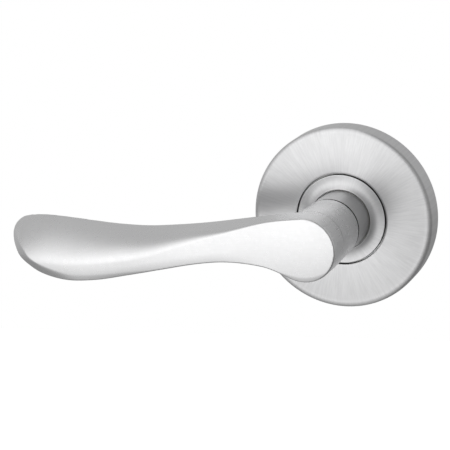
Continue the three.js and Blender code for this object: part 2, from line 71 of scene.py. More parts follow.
COLLAR_RADIUS = 15.95
COLLAR_LIP_DEPTH = 9.9
COLLAR_TOP_RADIUS = 11.2
COLLAR_TOP_DEPTH = 11.1
COLLAR_BORE_RADIUS = 10.9
COLLAR_SEAT_DEPTH = 8.7
LIP_BEVEL = 0.15

SLEEVE_RADIUS = 10.35
SLEEVE_BACK_DEPTH = 10.65
SEAM_GAP = 0.8
NECK_SEAM_DEPTH = 23.9
NECK_RADIUS = 10.45
# The neck widens towards the head between these two depths.
NECK_FLARE_DEPTHS = (24, 40)

HEAD_RADIUS = 11.0
FRONT_DEPTH = 55
ARM_THICKNESS = 11.6
TIP_SETBACK = 2.5
TIP_CURL = 1.6
TIP_BEVEL_DEGREES = 30

SPIGOT_RADIUS = 7.9
SPIGOT_END_DEPTH = 0.7
SPIGOT_HALF_FLATS = 6.7
CLIP_GROOVE_RADIUS = 7
CLIP_GROOVE_WIDTH = 1.4
CLIP_OUTER_RADIUS = 9.6
CLIP_THICKNESS = 1
CLIP_DEPTH = 1.9
SPINDLE_SIZE = 8
SPINDLE_REACH = 50
SPINDLE_SEAT_DEPTH = 41
GRUB_DEPTH = 31
GRUB_RADIUS = 2.5

PLATE_RADIUS = 29.4
PLATE_THICKNESS = 2.5
PLATE_BORE_RADIUS = 13.5
FIXING_PLACE = 25
FIXING_SCREW_RADIUS = 2
FIXING_SCREW_HOLE = FIXING_SCREW_RADIUS + 0.4
FIXING_HEAD_RADIUS = 3.9
FIXING_HEAD_HOLE = FIXING_HEAD_RADIUS + 0.7
FIXING_SCREW_REACH = 12
BOSS_RADIUS = 4
BOSS_REACH = 6

CASSETTE_RADIUS = 20.7
CASSETTE_WALL = 1.1
CASSETTE_FRONT_DEPTH = 8.4
CASSETTE_FLANGE_RADIUS = 27.4
CASSETTE_FLANGE_DEPTH = PLATE_THICKNESS + FIT_GAP + 1
CASSETTE_SCREW_CIRCLE = 24.4
CASSETTE_SCREW_RADIUS = 1.3

BUSH_BODY_RADIUS = 10.2
BUSH_FLANGE_RADIUS = 11.6
BUSH_BACK_DEPTH = 5.9
BUSH_FLANGE_DEPTH = 7.0

HUB_RADIUS = 11.4
HUB_BACK = 2.8
HUB_FRONT = 4.9
TONGUE_FRONT = 3.8
TONGUE_REACH = 18.4
TONGUE_WIDTH = 5
FINGER_RADII = (15.4, 18.2)
FINGER_HALF_ANGLE = 8
STOP_CIRCLE = 16.8
STOP_PIN_RADIUS = 1.6
STOP_PIN_BACK = 0.2
STOP_PIN_FRONT = 6.9
STOP_ANGLES = (254.5, 335.5)

SPRING_COIL_RADIUS = 13.5
SPRING_WIRE_WIDTH = 1.8
SPRING_WIRE_HEIGHT = 0.8
SPRING_BACK_DEPTH = 4.5
SPRING_RISE = 2.1
SPRING_TURNS = 2
SPRING_LEG_DEGREES = 13.5
SPRING_LEG_REACH = 19.2
SPRING_HELD_DEPTH = 6.4
SPRING_TURNED_DEPTH = 4.7

# ---------------------------------------------------------------- making pieces

record = frame["record"]
body_of = {node: body for body, nodes in record["behaviour"]["bodies"].items() for node in nodes}


def add_piece(name, points, faces, material, stands_for, normals=None, blends=None):
    """A mesh piece from (x, depth, z) points in mm, which stands for a CAD node and moves with it.
    With blends, it is left in place with no body instead; the bodies and depths in blends are not used."""
    metres = np.asarray(points, float) * [MM, -MM, MM]
    mesh = bpy.data.meshes.new(name)
    mesh.from_pydata(metres.tolist(), [], faces.tolist() if isinstance(faces, np.ndarray) else faces)
    if signed_volume(mesh) < 0:
        mesh.flip_normals()
    mesh.polygons.foreach_set("use_smooth", [True] * len(mesh.polygons))
    piece = bpy.data.objects.new(name, mesh)
    bpy.context.scene.collection.objects.link(piece)
    if normals is None:
        even = piece.modifiers.new("even_shading", "WEIGHTED_NORMAL")
        even.keep_sharp = True
    else:
        mesh.normals_split_custom_set_from_vertices((normals * [1, -1, 1]).tolist())
    mesh.materials.append(material)
    if blends is None:
        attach(piece, body_of[stands_for])
    else:
        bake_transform(piece)
    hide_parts(stands_for)
    return piece


def signed_volume(mesh):
    """Six times the volume inside a closed mesh, negative when its faces point inwards."""
    mesh.calc_loop_triangles()
    place = np.empty(3 * len(mesh.vertices))
    mesh.vertices.foreach_get("co", place)
    corners = np.empty(3 * len(mesh.loop_triangles), int)
    mesh.loop_triangles.foreach_get("vertices", corners)
    a, b, c = place.reshape(-1, 3)[corners.reshape(-1, 3)].transpose(1, 0, 2)
    return np.einsum("ij,ij->", a, np.cross(b, c))


def arc_points(centre, radius, from_degrees, to_degrees, steps):
    """Points along an arc, with both its ends."""
    angles = np.radians(np.linspace(from_degrees, to_degrees, steps + 1))
    return [(centre[0] + radius * math.cos(a), centre[1] + radius * math.sin(a)) for a in angles]


def rounded_corners(corners, steps=5):
    """A closed ring of points from (u, v, radius) corners, each rounded to its radius."""
    ring = []
    for i, (u, v, radius) in enumerate(corners):
        here = np.array([u, v], float)
        before = np.array(corners[i - 1][:2], float) - here
        after = np.array(corners[(i + 1) % len(corners)][:2], float) - here
        if radius <= 0:
            ring.append(here)
            continue
        before /= np.linalg.norm(before)
        after /= np.linalg.norm(after)
        half_angle = math.acos(np.clip(before @ after, -1, 1)) / 2
        reach = radius / math.tan(half_angle)
        middle = before + after
        centre = here + middle / np.linalg.norm(middle) * radius / math.sin(half_angle)
        start = here + before * reach - centre
        end = here + after * reach - centre
        for k in range(steps + 1):
            blend = start * (1 - k / steps) + end * (k / steps)
            ring.append(centre + blend / np.linalg.norm(blend) * radius)
    return np.array(ring)


def turned(ring, segments=192, at=(0, 0)):
    """Points and faces of a closed ring of (radius, depth) points, turned about an axis at (x, z)."""
    ring = np.asarray(ring, float)
    angles = np.linspace(0, 2 * math.pi, segments, endpoint=False)
    radius = ring[:, 0][None, :]
    x = radius * np.cos(angles)[:, None]
    z = radius * np.sin(angles)[:, None]
    depth = np.broadcast_to(ring[:, 1], x.shape)
    points = np.stack([x + at[0], depth, z + at[1]], -1).reshape(-1, 3)
    count = len(ring)
    area = np.sum(ring[:, 0] * np.roll(ring[:, 1], -1) - np.roll(ring[:, 0], -1) * ring[:, 1])
    faces = []
    for s in range(segments):
        here, there = s * count, (s + 1) % segments * count
        for k in range(count):
            nxt = (k + 1) % count
            quad = [here + k, here + nxt, there + nxt, there + k]
            faces.append(quad if area > 0 else quad[::-1])
    return points, faces


def turned_solid(profile, segments, at):
    """The same for an open profile, with a flat cap at each of its two ends."""
    points, faces = turned(profile, segments, at)
    count = len(profile)
    sides = [face for face in faces if not {0, count - 1} <= {corner % count for corner in face}]
    first_cap = [s * count for s in range(segments)]
    last_cap = [s * count + count - 1 for s in range(segments)]
    return points, sides + [first_cap, last_cap[::-1]]


# ---------------------------------------------------------------- the handle's surface

ARM_OUTLINE = np.array([
    [-7, 10.6], [-14, 9.9], [-24, 8.65], [-36, 7.25], [-48, 6.3], [-60, 5.85], [-72, 6.5],
    [-84, 7.75], [-94, 8.7], [-101.3, 8.85], [-107.2, 8.15], [-110.2, 6.0], [-110.3, 2.2],
    [-108.0, -2.8], [-103.9, -7.5], [-98.2, -10.8], [-88.0, -12.2], [-76, -11.7], [-64, -9.7],
    [-52, -7.4], [-40, -5.3], [-30, -4.3], [-22, -4.55], [-15, -5.55], [-11, -6.8], [-8, -8.2],
])
# The round head takes over from the outline's points between these two angles.
HEAD_ARC = (-116.5, 92)
# The tip lies this much inside the outline, so that it stays within the CAD part's facets.
TIP_INSET = 0.1
CURVE_STEPS = 60
OUTLINE_STEP = 0.15
TINY = 1e-3


def catmull_rom(points, steps):
    """The smooth curve through the points that three.js calls a SplineCurve."""
    padded = np.vstack([points[:1], points, points[-1:]])
    t = np.linspace(0, 1, steps, endpoint=False)[:, None]
    spans = []
    for p0, p1, p2, p3 in zip(padded, padded[1:], padded[2:], padded[3:]):
        v0, v1 = (p2 - p0) / 2, (p3 - p1) / 2
        cubic = 2 * p1 - 2 * p2 + v0 + v1
        square = 3 * p2 - 3 * p1 - 2 * v0 - v1
        spans.append(cubic * t**3 + square * t**2 + v0 * t + p1)
    return np.vstack(spans + [points[-1:]])


def even_spacing(points, step):
    """The same closed curve with points an even step apart."""
    closed = np.vstack([points, points[:1]])
    lengths = np.hypot(*np.diff(closed, axis=0).T)
    travelled = np.concatenate([[0], np.cumsum(lengths)])
    places = np.linspace(0, travelled[-1], int(travelled[-1] / step), endpoint=False)
    return np.stack([np.interp(places, travelled, closed[:, k]) for k in (0, 1)], 1)


arm_curve = catmull_rom(ARM_OUTLINE, CURVE_STEPS)
head_curve = np.array(arc_points((0, 0), HEAD_RADIUS, *HEAD_ARC, 400))
outline = even_spacing(np.vstack([arm_curve, head_curve]), OUTLINE_STEP)
arm_tip = outline[:, 0].min()
upper_curve = arm_curve[: int(11.5 * CURVE_STEPS)]
upper_curve = upper_curve[np.argsort(upper_curve[:, 0])]
lower_curve = arm_curve[13 * CURVE_STEPS :]


def outline_distance(x, z):
    """Distance from the outline in the X-Z plane, negative inside it."""
    x, z = np.broadcast_arrays(x, z)
    shape = x.shape
    x, z = x.ravel(), z.ravel()
    stride = 16
    batch = 20000
    coarse = outline[::stride]
    nearest = np.empty(len(x), int)
    for start in range(0, len(x), batch):
        part = slice(start, start + batch)
        gap = (x[part, None] - coarse[:, 0]) ** 2 + (z[part, None] - coarse[:, 1]) ** 2
        nearest[part] = gap.argmin(1) * stride
    best = np.full(len(x), np.inf)
    side = np.ones(len(x))
    for offset in range(-stride, stride):
        a = outline[(nearest + offset) % len(outline)]
        b = outline[(nearest + offset + 1) % len(outline)]
        edge_x, edge_z = b[:, 0] - a[:, 0], b[:, 1] - a[:, 1]
        from_x, from_z = x - a[:, 0], z - a[:, 1]
        t = np.clip((from_x * edge_x + from_z * edge_z) / (edge_x**2 + edge_z**2), 0, 1)
        gap = (from_x - t * edge_x) ** 2 + (from_z - t * edge_z) ** 2
        closer = gap < best
        best = np.where(closer, gap, best)
        side = np.where(closer, np.sign(edge_z * from_x - edge_x * from_z), side)
    return (side * np.sqrt(best)).reshape(shape)


def smoothstep(x, start, end):
    """Zero before the start and one after the end, with an even rise between them."""
    t = np.clip((x - start) / (end - start), 0, 1)
    return t * t * (3 - 2 * t)


def rounded_edge(a, b, size):
    """The overlap of two solids, with the convex edge between them rounded."""
    beyond = np.hypot(np.maximum(a + size, 0), np.maximum(b + size, 0))
    return np.minimum(np.maximum(a, b), -size) + beyond


def filleted(a, b, size):
    """Two solids joined, with a fillet in the corner between them."""
    filled = np.hypot(np.maximum(size - a, 0), np.maximum(size - b, 0))
    return np.maximum(np.minimum(a, b), size) - filled


def front_depth(x):
    """How far the front stands out. It curves back towards the tip."""
    outward = np.clip((-x - 40) / 70, 0, 1)
    return FRONT_DEPTH - TIP_SETBACK * outward**2 - TIP_CURL * outward**6


def top_line(x):
    """Height of the outline's upper edge along the arm."""
    height = np.interp(np.clip(x, arm_tip + 3.6, -7), upper_curve[:, 0], upper_curve[:, 1])
    return height + 0.6 * smoothstep(x, -7, 0)


def bottom_line(x):
    """Height of the outline's lower edge along the arm."""
    return np.interp(x, lower_curve[:, 0], lower_curve[:, 1])


def front_distance(x, depth, z):
    """Distance from the front, which swells more over the grip than over the head. It rolls back
    a little under the waist of the arm and round the outer side of the head."""
    centre = -2 * smoothstep(-x, 10, 40) - 4 * smoothstep(-x, 55, 85)
    swell = (z - centre) ** 2 * 0.5 / (90 - 60 * smoothstep(-x, 30, 80))
    waist = smoothstep(-x, 12, 34) * (1 - smoothstep(-x, 60, 84))
    lower_roll = 0.02 * waist * np.maximum(3.5 + bottom_line(x) - z, 0) ** 2
    head_roll = np.maximum(x + 4, 0) ** 2 / 280
    return depth - front_depth(x) + swell + lower_roll + head_roll


def top_distance(x, depth, z):
    """Distance from the arm's top, which leans forward more and more towards the tip."""
    lean = np.radians(8 * smoothstep(-x, 6, 30) + 28 * smoothstep(-x, 35, 95))
    back = front_depth(x) - ARM_THICKNESS
    return (z - top_line(x) + np.tan(lean) * (depth - back - 0.8)) * np.cos(lean)


def arm_and_neck(x, depth, z):
    """Distance from the head, arm and grip, with the neck behind them filleted to the arm."""
    sides = outline_distance(x, z) + TIP_INSET * smoothstep(-x, 100, 110)
    neck = np.hypot(x, z) - np.interp(depth, NECK_FLARE_DEPTHS, (NECK_RADIUS, HEAD_RADIUS - 0.05))
    back = front_depth(x) - ARM_THICKNESS
    behind = filleted(neck, back - depth, np.clip(-sides, TINY, 4))
    core = rounded_edge(sides, behind, np.clip((neck - sides) * 0.5, TINY, 0.6))
    # The upper front edge is crisp at the head and becomes a broad roll over the grip.
    upper_edge = 0.4 + 5.4 * smoothstep(-x, 14, 65)
    roof = rounded_edge(top_distance(x, depth, z), front_distance(x, depth, z), upper_edge)
    # The bevel round the front of the tip is wider and softer lower down, and fades out along the arm.
    tilt = math.radians(TIP_BEVEL_DEGREES)
    width = 0.3 + 1.5 * smoothstep(-z, -7, 3) - 3 * smoothstep(x, -104, -84)
    bevel = core * math.sin(tilt) + roof * math.cos(tilt) + width
    crease = 0.15 + 2.5 * smoothstep(-z, 3, 11)
    return rounded_edge(rounded_edge(core, roof, 0.5), bevel, crease)


def handle_distance(x, depth, z):
    """Distance from the whole handle: arm, neck, and the bored spigot behind them."""
    shell = rounded_edge(arm_and_neck(x, depth, z), NECK_SEAM_DEPTH - depth, 0.35)
    axis_distance = np.hypot(x, z)
    spigot = rounded_edge(axis_distance - SPIGOT_RADIUS, SPIGOT_END_DEPTH - depth, 0.4)
    spigot_root = NECK_SEAM_DEPTH + 6
    spigot = np.maximum(spigot, depth - spigot_root)
    groove = np.maximum(CLIP_GROOVE_RADIUS - axis_distance, abs(depth - CLIP_DEPTH) - CLIP_GROOVE_WIDTH / 2)
    flats = np.maximum(SPIGOT_HALF_FLATS - abs(x), depth - HUB_FRONT - 0.05)
    spigot = rounded_edge(rounded_edge(spigot, -groove, 0.15), -flats, 0.15)
    half_bore = SPINDLE_SIZE / 2 + FIT_GAP / 2
    bore_end = SPINDLE_SEAT_DEPTH + 1
    bore = np.maximum(np.maximum(abs(x), abs(z)) - half_bore, depth - bore_end)
    grub_hole = np.maximum(np.hypot(x, depth - GRUB_DEPTH) - GRUB_RADIUS - 0.2, z)
    solid = np.minimum(shell, spigot)
    return rounded_edge(rounded_edge(solid, -bore, 0.2), -grub_hole, 0.3)


def slope(distance, points, step=0.02):
    """Direction in which the distance grows fastest, at each point."""
    columns = []
    for k in range(3):
        shift = np.zeros(3)
        shift[k] = step
        ahead, behind = points + shift, points - shift
        columns.append(distance(*ahead.T) - distance(*behind.T))
    return np.stack(columns, 1) / (2 * step)


def surface_of(distance, low, high, cell, rounds=4):
    """Points, quads and normals of the surface where the distance is zero: one point for each grid
    cell that the surface crosses, and one quad for each grid edge that it crosses."""
    axes = [np.arange(a, b + cell, cell) for a, b in zip(low, high)]
    inside = distance(*np.meshgrid(*axes, indexing="ij", sparse=True)) < 0
    cells = tuple(n - 1 for n in inside.shape)
    count = np.zeros(cells, int)
    for i in (0, 1):
        for j in (0, 1):
            for k in (0, 1):
                count += inside[i : cells[0] + i, j : cells[1] + j, k : cells[2] + k]
    crossed = (count > 0) & (count < 8)
    number = np.full(cells, -1)
    number[crossed] = np.arange(crossed.sum())
    points = np.argwhere(crossed) * cell + np.array(low) + cell / 2
    quads = []
    for axis in range(3):
        first, second = [k for k in range(3) if k != axis]
        near = np.take(inside, range(cells[axis]), axis)
        far = np.take(inside, range(1, cells[axis] + 1), axis)
        places = np.argwhere(near != far)
        places = places[(places[:, first] > 0) & (places[:, second] > 0)]
        places = places[(places[:, first] < cells[first]) & (places[:, second] < cells[second])]
        leaves = near[tuple(places.T)]
        around = []
        for step_first, step_second in ((-1, -1), (0, -1), (0, 0), (-1, 0)):
            at = places.copy()
            at[:, first] += step_first
            at[:, second] += step_second
            around.append(number[tuple(at.T)])
        quad = np.stack(around, 1)
        flip = leaves if axis == 1 else ~leaves
        quad[flip] = quad[flip][:, ::-1]
        quads.append(quad)
    quads = np.vstack(quads)
    edges = np.vstack([quads[:, [k, (k + 1) % 4]] for k in range(4)])
    neighbours = np.bincount(edges.ravel(), minlength=len(points))[:, None]
    for turn in range(rounds):
        if turn > 0:
            total = np.zeros_like(points)
            for k in range(3):
                total[:, k] = np.bincount(edges[:, 0], points[edges[:, 1], k], len(points))
                total[:, k] += np.bincount(edges[:, 1], points[edges[:, 0], k], len(points))
            points = 0.5 * points + 0.5 * total / neighbours
        for _ in range(2):
            gradient = slope(distance, points)
            steepness = np.maximum((gradient**2).sum(1), 0.25)
            move = distance(*points.T) / steepness
            points = points - gradient * np.clip(move, -cell, cell)[:, None]
    normals = slope(distance, points)
    return points, quads, normals / np.linalg.norm(normals, axis=1)[:, None]


# ---------------------------------------------------------------- materials


class Nodes:
    """Short names for building a node tree."""

    def __init__(self, tree):
        self.tree = tree

    def add(self, kind, inputs=(), **settings):
        node = self.tree.nodes.new(kind)
        for key, value in settings.items():
            setattr(node, key, value)
        for key, value in dict(inputs).items():
            self.set(node.inputs[key], value)
        return node

    def set(self, socket, value):
        if isinstance(value, bpy.types.NodeSocket):
            self.tree.links.new(value, socket)
        else:
            socket.default_value = value

    def math(self, operation, a, b=0.0):
        return self.add("ShaderNodeMath", {0: a, 1: b}, operation=operation).outputs[0]

    def product(self, *factors):
        total = factors[0]
        for factor in factors[1:]:
            total = self.math("MULTIPLY", total, factor)
        return total

    def remap(self, value, low, high, to_low, to_high, kind="SMOOTHSTEP"):
        """A value that runs between the last two numbers as the given one runs from low to high."""
        inputs = {"Value": value, "From Min": low, "From Max": high, "To Min": to_low, "To Max": to_high}
        return self.add("ShaderNodeMapRange", inputs, interpolation_type=kind).outputs[0]

    def mix(self, share, a, b):
        """Colour a, with a share of colour b in it."""
        node = self.add("ShaderNodeMix", data_type="RGBA")
        for socket, value in zip((node.inputs[0], node.inputs[6], node.inputs[7]), (share, a, b)):
            self.set(socket, value)
        return node.outputs[2]

    def noise(self, vector, scale, detail=3.0, roughness=0.55):
        inputs = {"Vector": vector, "Scale": scale, "Detail": detail, "Roughness": roughness}
        return self.add("ShaderNodeTexNoise", inputs).outputs["Fac"]

    def place(self):
        return self.add("ShaderNodeTexCoord").outputs["Object"]

    def scaled(self, vector, factors):
        return self.add("ShaderNodeVectorMath", {0: vector, 1: factors}, operation="MULTIPLY").outputs[0]

    def split(self, vector):
        return self.add("ShaderNodeSeparateXYZ", {0: vector}).outputs

    def joined(self, x, y, z):
        return self.add("ShaderNodeCombineXYZ", {0: x, 1: y, 2: z}).outputs[0]

    def polar(self):
        """Angle and radius about the spindle axis and y along it, in radians and metres."""
        x, y, z = self.split(self.place())
        radius = self.math("SQRT", self.math("ADD", self.product(x, x), self.product(z, z)))
        return self.math("ARCTAN2", z, x), radius, y

    def between(self, value, low, high, blur=0.08):
        """One where a length in metres lies between two lengths in mm, falling to zero outside."""
        above = self.remap(value, (low - blur) * MM, low * MM, 0, 1)
        below = self.remap(value, high * MM, (high + blur) * MM, 1, 0)
        return self.product(above, below)

    def bump(self, height, strength, distance):
        inputs = {"Height": height, "Strength": strength, "Distance": distance}
        return self.add("ShaderNodeBump", inputs).outputs[0]


class Finish(Nodes):
    """The node tree of a new material."""

    def __init__(self, name):
        self.material = bpy.data.materials.new(name)
        self.material.use_nodes = True
        super().__init__(self.material.node_tree)
        self.shader = self.tree.nodes["Principled BSDF"]

    def made_of(self, sockets):
        for key, value in sockets.items():
            self.set(self.shader.inputs[key], value)
        return self.material


def rgb(*levels):
    """A colour with full alpha."""
    return (*levels, 1.0)


# Colour deep inside the narrow gaps, where hardly any light gets in.
SHADOWED = rgb(0.02, 0.02, 0.02)
SHADE_OVERLAP = 0.04


def satin_handle():
    """Fine satin blasting, with faint lines where the casting was brushed along the arm."""
    n = Finish("satin_cast_metal")
    place = n.place()
    _, y, _ = n.split(place)
    along_arm = (120, 2600, 2600)
    brushed = n.noise(n.scaled(place, along_arm), 1.0, 3)
    cloud = n.noise(place, 70, 2)
    tone = n.math("ADD", n.remap(brushed, 0.3, 0.7, -0.5, 0.5), n.remap(cloud, 0.3, 0.7, -0.5, 0.5))
    color = n.mix(n.remap(tone, -1, 1, 0, 1), rgb(0.795, 0.795, 0.80), rgb(0.82, 0.82, 0.825))
    # Painted shade: where the handle faces the seam gap behind the neck, its colour is near black.
    seam_shade = n.between(y, -NECK_SEAM_DEPTH - SHADE_OVERLAP, SEAM_GAP - NECK_SEAM_DEPTH)
    roughness = n.remap(n.noise(place, 600, 3), 0.3, 0.7, 0.27, 0.31)
    return n.made_of({
        "Base Color": n.mix(seam_shade, color, SHADOWED),
        "Metallic": 1.0,
        "Roughness": roughness,
        "Normal": n.bump(brushed, 0.01, 0.02 * MM),
    })


def satin_turned():
    """Satin metal that was brushed round and round, so that light fans out from the middle."""
    n = Finish("satin_turned_metal")
    angle, radius, y = n.polar()
    # The streaks change quickly round the axis and slowly away from it.
    streaks = n.joined(n.math("COSINE", angle), n.math("SINE", angle), n.product(radius, 3.0))
    streaks_and_sheen = n.noise(streaks, 45.0, 5, 0.75)
    # Painted sheen as well as tone: the radial streaks lighten and darken the colour the way the highlight
    # streaks of round-brushed metal do.
    color = n.mix(n.remap(streaks_and_sheen, 0.3, 0.7, 0, 1), rgb(0.68, 0.68, 0.685), rgb(0.75, 0.75, 0.755))
    # Painted shade: the groove between the rose and the collar and the seam gap at the sleeve's front are
    # coloured near black.
    round_collar = n.between(radius, COLLAR_RADIUS - 0.1, COLLAR_RADIUS + 0.5)
    groove_shade = n.product(round_collar, n.between(y, LIP_BEVEL - COLLAR_LIP_DEPTH, 0))
    seam_shade = n.between(y, -NECK_SEAM_DEPTH, SHADE_OVERLAP + SEAM_GAP - NECK_SEAM_DEPTH)
    # The brush marks change quickly away from the axis and slowly round it.
    marks = n.joined(n.product(radius, 6000.0), n.product(angle, 3.0), y)
    return n.made_of({
        "Base Color": n.mix(n.math("MAXIMUM", groove_shade, seam_shade), color, SHADOWED),
        "Metallic": 1.0,
        "Roughness": n.remap(streaks_and_sheen, 0.3, 0.7, 0.34, 0.30),
        "Normal": n.bump(n.noise(marks, 1.0, 3), 0.04, 0.05 * MM),
        "Anisotropic": 0.8,
        "Anisotropic Rotation": 0.25,
        "Tangent": n.add("ShaderNodeTangent", direction_type="RADIAL", axis="Y").outputs[0],
    })


def mottled(name, dark, light, shiny, dull, grain, relief, metallic=1.0):
    """A finish whose colour and shine vary in soft patches, with a fine grain over them."""
    n = Finish(name)
    place = n.place()
    patches = n.noise(place, grain, 3)
    fine = n.noise(place, grain * 9, 4, 0.7)
    tone = n.remap(n.math("ADD", patches, fine), 0.75, 1.25, 0, 1)
    wear = n.math("ADD", fine, n.math("SUBTRACT", 1.0, patches))
    return n.made_of({
        "Base Color": n.mix(tone, dark, light),
        "Metallic": metallic,
        "Roughness": n.remap(wear, 0.75, 1.25, shiny, dull),
        "Normal": n.bump(fine, relief, 0.1 * MM),
    })


handle_metal = satin_handle()
turned_metal = satin_turned()

# ---------------------------------------------------------------- pieces seen from the front

handle_cell = 0.4
points, quads, normals = surface_of(handle_distance, (-113, 0, -14.5), (13, 56.5, 13.5), handle_cell)
add_piece("handle_casting", points, quads, handle_metal, "lever_handle", normals)

sleeve_front = NECK_SEAM_DEPTH - SEAM_GAP
sleeve_bore = SPIGOT_RADIUS + FIT_GAP
add_piece("sleeve", *turned(rounded_corners([
    (sleeve_bore, SLEEVE_BACK_DEPTH, 0.1), (SLEEVE_RADIUS, SLEEVE_BACK_DEPTH, 0.3),
    (SLEEVE_RADIUS, sleeve_front, 0.06), (sleeve_bore, sleeve_front, 0.1),
])), turned_metal, "neck_sleeve")

rose_hole = COLLAR_RADIUS + HOLE_GAP
face_edge = ROSE_RADIUS - ROSE_EDGE_WIDTH
face_depth = ROSE_RIM_DEPTH + ROSE_EDGE_RISE
dome_rise = ROSE_CENTRE_DEPTH - face_depth
dome_run = rose_hole + LIP_BEVEL - face_edge
dome = [(face_edge + dome_run * s, face_depth + dome_rise * math.sin(s * math.pi / 2), 0)
        for s in np.linspace(0, 1, 25)]
rim = [(face_edge + ROSE_EDGE_WIDTH * math.cos(a), ROSE_RIM_DEPTH + ROSE_EDGE_RISE * math.sin(a), 0)
       for a in np.radians(np.linspace(0, 90, 13)[:-1])]
inner_radius = ROSE_RADIUS - ROSE_WALL
add_piece("rose_shell", *turned(rounded_corners([
    (inner_radius, 0, 0.2), (ROSE_RADIUS, 0, 0.2), *rim, *dome,
    (rose_hole, ROSE_CENTRE_DEPTH - LIP_BEVEL, 0), (rose_hole, ROSE_CENTRE_DEPTH - ROSE_WALL, 0.1),
    (face_edge - 1, face_depth - ROSE_WALL, 0), (inner_radius, ROSE_RIM_DEPTH - 0.4, 1),
])), turned_metal, "rose_cover")

flare_start = COLLAR_RADIUS - LIP_BEVEL
flare_run = COLLAR_TOP_RADIUS - flare_start
flare_rise = COLLAR_TOP_DEPTH - COLLAR_LIP_DEPTH - LIP_BEVEL
flare = [(flare_start + flare_run * s, COLLAR_LIP_DEPTH + flare_rise * s**3, 0)
         for s in np.linspace(0, 1, 25)]
step_depth = SLEEVE_BACK_DEPTH - FIT_GAP
add_piece("flared_collar", *turned(rounded_corners([
    (BUSH_BODY_RADIUS + FIT_GAP, COLLAR_SEAT_DEPTH, 0.1), (COLLAR_RADIUS, COLLAR_SEAT_DEPTH, 0.1),
    (COLLAR_RADIUS, COLLAR_LIP_DEPTH - LIP_BEVEL, 0), *flare,
    (COLLAR_BORE_RADIUS, COLLAR_TOP_DEPTH, 0.1), (COLLAR_BORE_RADIUS, step_depth, 0),
    (BUSH_BODY_RADIUS + FIT_GAP, step_depth, 0.05),
])), turned_metal, "collar_ring")

# ---------------------------------------------------------------- pieces inside and behind the rose

# The true distance from a slanted face is about this share of the distance along the radius.
SLANT_SCALE = 0.75


def within(value, low, high):
    """Negative between the two limits, and the distance from the nearer one."""
    return np.maximum(low - value, value - high)


def round_hole(x, z, radius, at=(0, 0)):
    return np.hypot(x - at[0], z - at[1]) - radius


def rod(x, depth, z, radius, back, front, at=(0, 0), edge=0.25):
    return rounded_edge(round_hole(x, z, radius, at), within(depth, back, front), edge)


def bar(x, depth, z, half_x, half_z, back, front, at=(0, 0), edge=0.2):
    sides = rounded_edge(abs(x - at[0]) - half_x, abs(z - at[1]) - half_z, edge)
    return rounded_edge(sides, within(depth, back, front), edge)


def ring_slice(x, depth, z, inner, outer, back, front, edge=0.2):
    """Part of a ring, either side of straight up, between two radii and two depths."""
    half = math.radians(FINGER_HALF_ANGLE)
    beside = abs(x) * math.cos(half) - z * math.sin(half)
    sides = rounded_edge(beside, within(np.hypot(x, z), inner, outer), edge)
    return rounded_edge(sides, within(depth, back, front), edge)


def drive_bore(x, z, gap):
    """The spigot's round with its two flats, grown by a gap."""
    return np.maximum(np.hypot(x, z) - SPIGOT_RADIUS - gap, abs(x) - SPIGOT_HALF_FLATS - gap)


def on_circle(radius, degrees):
    angle = math.radians(degrees)
    return radius * math.cos(angle), radius * math.sin(angle)


def hub_distance(x, depth, z):
    disc = rod(x, depth, z, HUB_RADIUS, HUB_BACK, HUB_FRONT)
    tongues = bar(x, depth, z, TONGUE_WIDTH / 2, TONGUE_REACH, HUB_BACK, TONGUE_FRONT)
    finger_front = CASSETTE_FRONT_DEPTH - CASSETTE_WALL - 0.6
    finger = ring_slice(x, depth, z, *FINGER_RADII, HUB_BACK, finger_front)
    solid = filleted(filleted(disc, tongues, 0.4), finger, 0.3)
    return rounded_edge(solid, -drive_bore(x, z, 0.25), 0.15)


def plate_distance(x, depth, z):
    solid = rod(x, depth, z, PLATE_RADIUS, 0, PLATE_THICKNESS)
    for side in (-1, 1):
        boss = rod(x, depth, z, BOSS_RADIUS, -BOSS_REACH, 1, (side * FIXING_PLACE, 0))
        solid = filleted(solid, boss, 0.5)
    solid = rounded_edge(solid, -round_hole(x, z, PLATE_BORE_RADIUS), 0.25)
    solid = rounded_edge(solid, -round_hole(abs(x), z, FIXING_SCREW_HOLE, (FIXING_PLACE, 0)), 0.2)
    screw_place = on_circle(CASSETTE_SCREW_CIRCLE, 45)
    solid = rounded_edge(solid, -round_hole(abs(x), abs(z), CASSETTE_SCREW_RADIUS + 0.25, screw_place), 0.2)
    for angle in STOP_ANGLES:
        pin_hole = round_hole(x, z, STOP_PIN_RADIUS + 0.2, on_circle(STOP_CIRCLE, angle))
        solid = rounded_edge(solid, -pin_hole, 0.15)
    return solid


def cassette_distance(x, depth, z):
    """A pressed cup with a flange, its inner corners bent round rather than square."""
    radius = np.hypot(x, z)
    back = PLATE_THICKNESS + FIT_GAP
    inner_radius = CASSETTE_RADIUS - CASSETTE_WALL
    inner_depth = CASSETTE_FRONT_DEPTH - CASSETTE_WALL
    drum = rounded_edge(radius - CASSETTE_RADIUS, depth - CASSETTE_FRONT_DEPTH, 1.2)
    flange = rounded_edge(radius - CASSETTE_FLANGE_RADIUS, depth - CASSETTE_FLANGE_DEPTH, 0.15)
    outside = filleted(drum, flange, 0.4)
    inside = rounded_edge(radius - inner_radius, depth - inner_depth, 0.4)
    cup = rounded_edge(np.maximum(outside, back - depth), -inside, 0.15)
    anchor = ring_slice(x, depth, z, inner_radius - 1, inner_radius + 0.5, back, inner_depth + 0.3)
    solid = np.minimum(cup, anchor)
    solid = rounded_edge(solid, -round_hole(x, z, BUSH_BODY_RADIUS + FIT_GAP), 0.15)
    solid = rounded_edge(solid, -round_hole(abs(x), z, FIXING_HEAD_HOLE, (FIXING_PLACE, 0)), 0.15)
    screw_place = on_circle(CASSETTE_SCREW_CIRCLE, 45)
    return rounded_edge(solid, -round_hole(abs(x), abs(z), CASSETTE_SCREW_RADIUS + 0.3, screw_place), 0.15)


